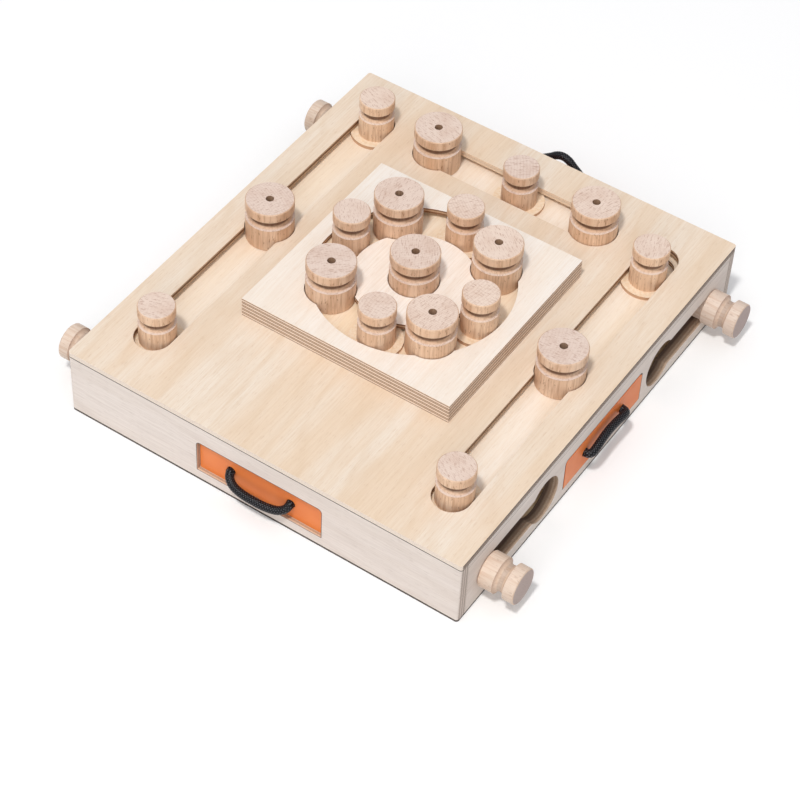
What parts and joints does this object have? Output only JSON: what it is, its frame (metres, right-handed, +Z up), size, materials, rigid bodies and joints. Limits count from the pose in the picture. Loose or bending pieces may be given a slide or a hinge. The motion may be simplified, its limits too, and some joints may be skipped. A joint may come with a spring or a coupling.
{
  "type": "dog puzzle feeder toy",
  "caption": "Flat wooden box with turned pegs that slide or lift over treat tracks, a raised board with a ring track, sliding side knobs, and orange drawers with rope handles.",
  "frame": {"origin": "centre of the box's underside", "axes": "+X right, +Y back, +Z up; the front with the wide bare strip of the top faces -Y"},
  "size_m": [0.352, 0.376, 0.0944],
  "materials": {
    "board": "bare plywood, sanded",
    "dark_sheet": "thin dark hardboard",
    "top": "bare plywood veneer, sanded",
    "raised_top": "bare plywood veneer, sanded",
    "track_floor": "bare plywood veneer, sanded",
    "peg": "turned beech, sanded",
    "drawer": "orange moulded plastic with a satin surface",
    "rope": "black braided cord"
  },
  "bodies": {
    "box": {"base_sheet": "dark_sheet", "bottom_board": "board", "front_board": "board", "back_board": "board", "left_board": "board", "right_board": "board", "rail_front_a": "board", "rail_front_b": "board", "rail_right_a": "board", "rail_right_b": "board", "rail_back_a": "board", "rail_back_b": "board", "rail_left_a": "board", "rail_left_b": "board", "floor_board": "track_floor", "channel_board": "board", "top_sheet": "top", "raised_base": "board", "raised_plate": "raised_top", "raised_disc": "raised_top"},
    "peg_left_front": {"peg_left_front": "peg"},
    "peg_left_back": {"peg_left_back": "peg"},
    "peg_back_middle": {"peg_back_middle": "peg"},
    "peg_right_back": {"peg_right_back": "peg"},
    "peg_right_front": {"peg_right_front": "peg"},
    "ring_peg_right": {"ring_peg_right": "peg"},
    "ring_peg_back": {"ring_peg_back": "peg"},
    "ring_peg_left": {"ring_peg_left": "peg"},
    "ring_peg_front": {"ring_peg_front": "peg"},
    "peg_left_middle": {"peg_left_middle": "peg"},
    "peg_back_left": {"peg_back_left": "peg"},
    "peg_back_right": {"peg_back_right": "peg"},
    "peg_right_middle": {"peg_right_middle": "peg"},
    "ring_peg_back_right": {"ring_peg_back_right": "peg"},
    "ring_peg_back_left": {"ring_peg_back_left": "peg"},
    "ring_peg_front_left": {"ring_peg_front_left": "peg"},
    "ring_peg_front_right": {"ring_peg_front_right": "peg"},
    "peg_centre": {"peg_centre": "peg"},
    "knob_right_front": {"knob_right_front": "peg"},
    "knob_right_back": {"knob_right_back": "peg"},
    "knob_left_front": {"knob_left_front": "peg"},
    "knob_left_back": {"knob_left_back": "peg"},
    "drawer_front": {"tray_front": "drawer", "handle_front": "rope", "knots_front": "rope"},
    "drawer_right": {"tray_right": "drawer", "handle_right": "rope", "knots_right": "rope"},
    "drawer_back": {"tray_back": "drawer", "handle_back": "rope", "knots_back": "rope"},
    "drawer_left": {"tray_left": "drawer", "handle_left": "rope", "knots_left": "rope"}
  },
  "joints": [
    {"name": "peg_left_front_slide", "type": "slide", "parent": "box", "child": "peg_left_front", "axis": [0, 1, 0], "range_m": [-0.0044, 0.0875]},
    {"name": "peg_left_back_slide", "type": "slide", "parent": "box", "child": "peg_left_back", "axis": [0, 1, 0], "range_m": [-0.0917, 0.0002]},
    {"name": "peg_back_middle_slide", "type": "slide", "parent": "box", "child": "peg_back_middle", "axis": [1, 0, 0], "range_m": [-0.0323, 0.0239]},
    {"name": "peg_right_back_slide", "type": "slide", "parent": "box", "child": "peg_right_back", "axis": [0, 1, 0], "range_m": [-0.0767, 0.0152]},
    {"name": "peg_right_front_slide", "type": "slide", "parent": "box", "child": "peg_right_front", "axis": [0, 1, 0], "range_m": [-0.0036, 0.0883]},
    {"name": "ring_peg_right_swing", "type": "hinge", "parent": "box", "child": "ring_peg_right", "pos_m": [0, 0.0017, 0.0616], "axis": [0, 0, 1], "range_deg": [-1.18, 14.5]},
    {"name": "ring_peg_back_swing", "type": "hinge", "parent": "box", "child": "ring_peg_back", "pos_m": [0, 0.0017, 0.0616], "axis": [0, 0, 1], "range_deg": [-4.31, 11.37]},
    {"name": "ring_peg_left_swing", "type": "hinge", "parent": "box", "child": "ring_peg_left", "pos_m": [0, 0.0017, 0.0616], "axis": [0, 0, 1], "range_deg": [-0.78, 14.89]},
    {"name": "ring_peg_front_swing", "type": "hinge", "parent": "box", "child": "ring_peg_front", "pos_m": [0, 0.0017, 0.0616], "axis": [0, 0, 1], "range_deg": [-15.68, 0]},
    {"name": "peg_left_middle_lift", "type": "slide", "parent": "box", "child": "peg_left_middle", "axis": [0, 0, 1], "range_m": [0, 0.04]},
    {"name": "peg_back_left_lift", "type": "slide", "parent": "box", "child": "peg_back_left", "axis": [0, 0, 1], "range_m": [0, 0.04]},
    {"name": "peg_back_right_lift", "type": "slide", "parent": "box", "child": "peg_back_right", "axis": [0, 0, 1], "range_m": [0, 0.04]},
    {"name": "peg_right_middle_lift", "type": "slide", "parent": "box", "child": "peg_right_middle", "axis": [0, 0, 1], "range_m": [0, 0.04]},
    {"name": "ring_peg_back_right_lift", "type": "slide", "parent": "box", "child": "ring_peg_back_right", "axis": [0, 0, 1], "range_m": [0, 0.04]},
    {"name": "ring_peg_back_left_lift", "type": "slide", "parent": "box", "child": "ring_peg_back_left", "axis": [0, 0, 1], "range_m": [0, 0.04]},
    {"name": "ring_peg_front_left_lift", "type": "slide", "parent": "box", "child": "ring_peg_front_left", "axis": [0, 0, 1], "range_m": [0, 0.04]},
    {"name": "ring_peg_front_right_lift", "type": "slide", "parent": "box", "child": "ring_peg_front_right", "axis": [0, 0, 1], "range_m": [0, 0.04]},
    {"name": "peg_centre_lift", "type": "slide", "parent": "box", "child": "peg_centre", "axis": [0, 0, 1], "range_m": [0, 0.04]},
    {"name": "knob_right_front_slide", "type": "slide", "parent": "box", "child": "knob_right_front", "axis": [0, 1, 0], "range_m": [0, 0.066]},
    {"name": "knob_right_back_slide", "type": "slide", "parent": "box", "child": "knob_right_back", "axis": [0, -1, 0], "range_m": [0, 0.066]},
    {"name": "knob_left_front_slide", "type": "slide", "parent": "box", "child": "knob_left_front", "axis": [0, 1, 0], "range_m": [0, 0.066]},
    {"name": "knob_left_back_slide", "type": "slide", "parent": "box", "child": "knob_left_back", "axis": [0, -1, 0], "range_m": [0, 0.066]},
    {"name": "drawer_front_slide", "type": "slide", "parent": "box", "child": "drawer_front", "axis": [0, -1, 0], "range_m": [0, 0.08]},
    {"name": "drawer_right_slide", "type": "slide", "parent": "box", "child": "drawer_right", "axis": [1, 0, 0], "range_m": [-0.003, 0.077]},
    {"name": "drawer_back_slide", "type": "slide", "parent": "box", "child": "drawer_back", "axis": [0, 1, 0], "range_m": [-0.02, 0.06]},
    {"name": "drawer_left_slide", "type": "slide", "parent": "box", "child": "drawer_left", "axis": [-1, 0, 0], "range_m": [0, 0.08]}
  ]
}
